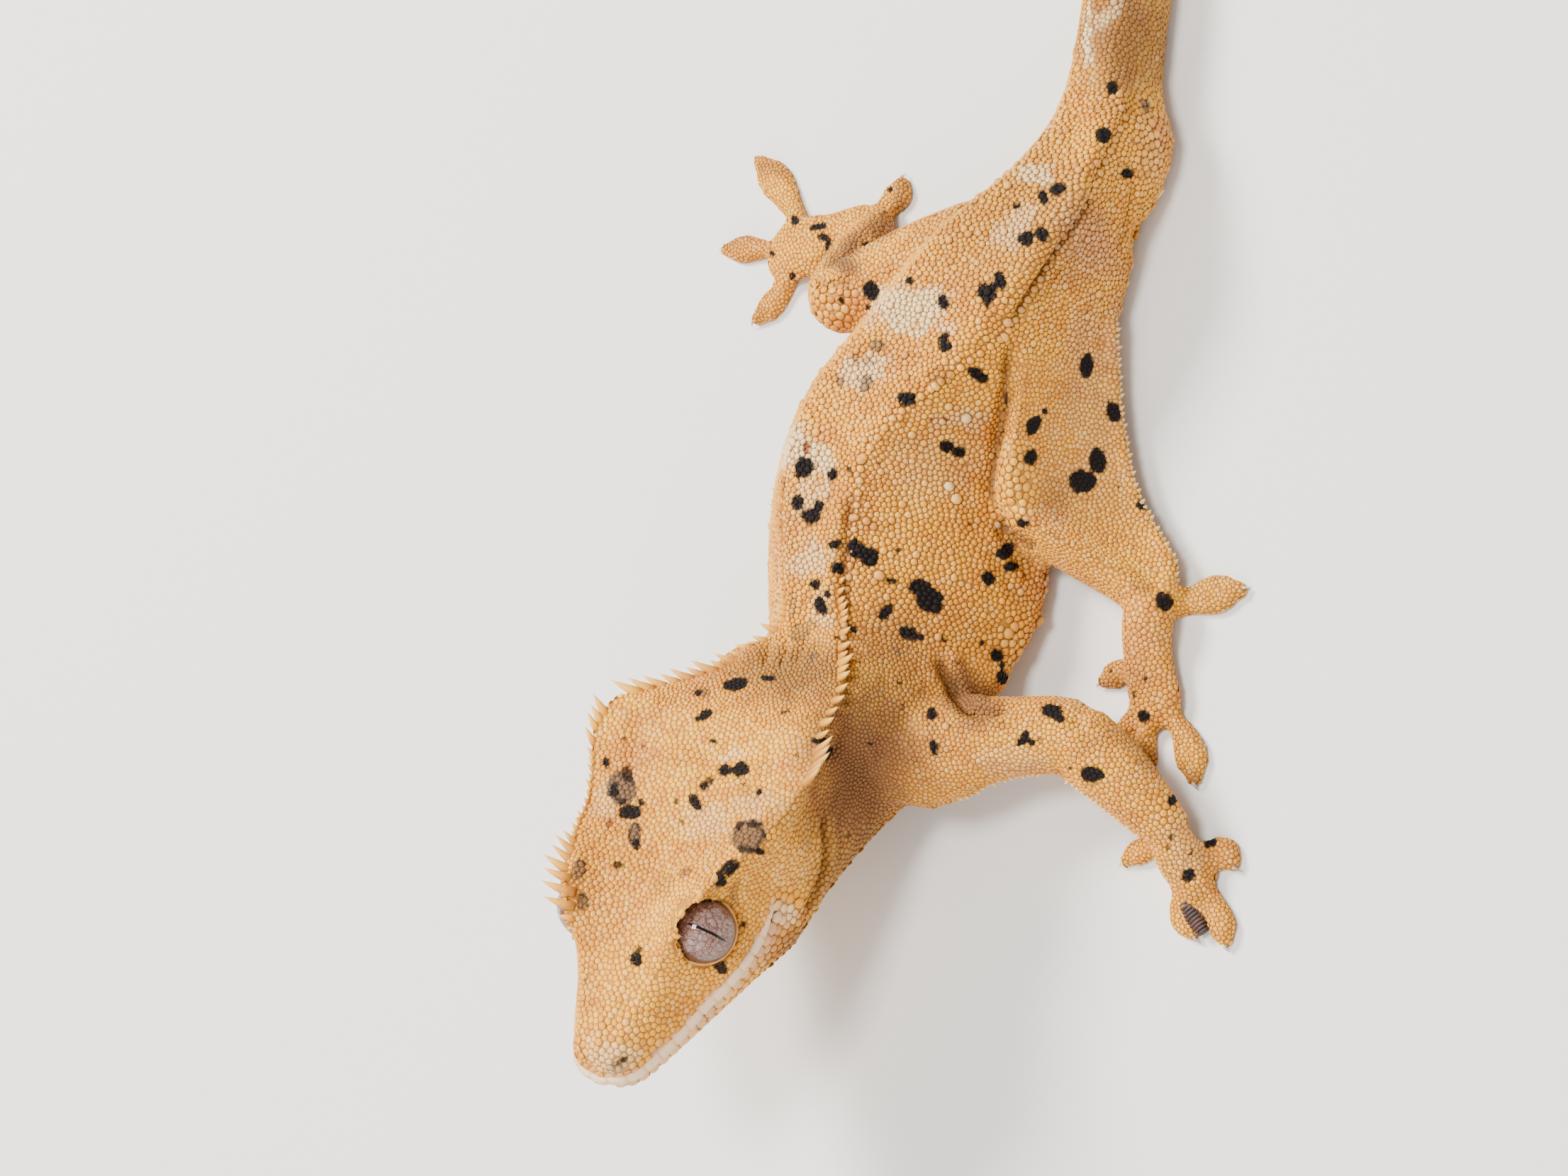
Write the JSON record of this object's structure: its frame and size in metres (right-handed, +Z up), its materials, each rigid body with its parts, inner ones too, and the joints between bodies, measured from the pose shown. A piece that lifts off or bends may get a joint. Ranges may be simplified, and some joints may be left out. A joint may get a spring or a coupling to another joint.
{
  "type": "crested gecko",
  "caption": "Life-size museum model of a crested gecko lying still on its belly, head raised and turned, tail curving to one side, limbs spread on the floor.",
  "frame": {"origin": "middle of the underside of the model's bounding box, on the floor", "axes": "+Z up from the floor; +Y from the head towards the tail; +X towards the animal's left side"},
  "size_m": [0.0574, 0.1708, 0.0287],
  "materials": {
    "skin": "fine granular scales, satin, orange tan with black spots and pale cream patches",
    "eye": "glossy wet-looking globe, brown-grey iris with a dark slit pupil"
  },
  "bodies": {
    "root": {"head": "skin", "jaw": "skin", "eye_left": "eye", "eye_right": "eye", "neck": "skin", "torso_front": "skin", "torso_rear": "skin", "tail_base": "skin", "tail_middle": "skin", "tail_rear": "skin", "tail_tip": "skin", "upper_arm_left": "skin", "forearm_left": "skin", "hand_left": "skin", "finger_left_1": "skin", "finger_left_2": "skin", "finger_left_3": "skin", "finger_left_4": "skin", "finger_left_5": "skin", "upper_arm_right": "skin", "forearm_right": "skin", "hand_right": "skin", "finger_right_1": "skin", "finger_right_2": "skin", "finger_right_3": "skin", "finger_right_4": "skin", "finger_right_5": "skin", "thigh_left": "skin", "shank_left": "skin", "foot_left": "skin", "toe_left_1": "skin", "toe_left_2": "skin", "toe_left_3": "skin", "toe_left_4": "skin", "toe_left_5": "skin", "thigh_right": "skin", "shank_right": "skin", "foot_right": "skin", "toe_right_1": "skin", "toe_right_2": "skin", "toe_right_3": "skin", "toe_right_4": "skin", "toe_right_5": "skin"}
  },
  "joints": []
}
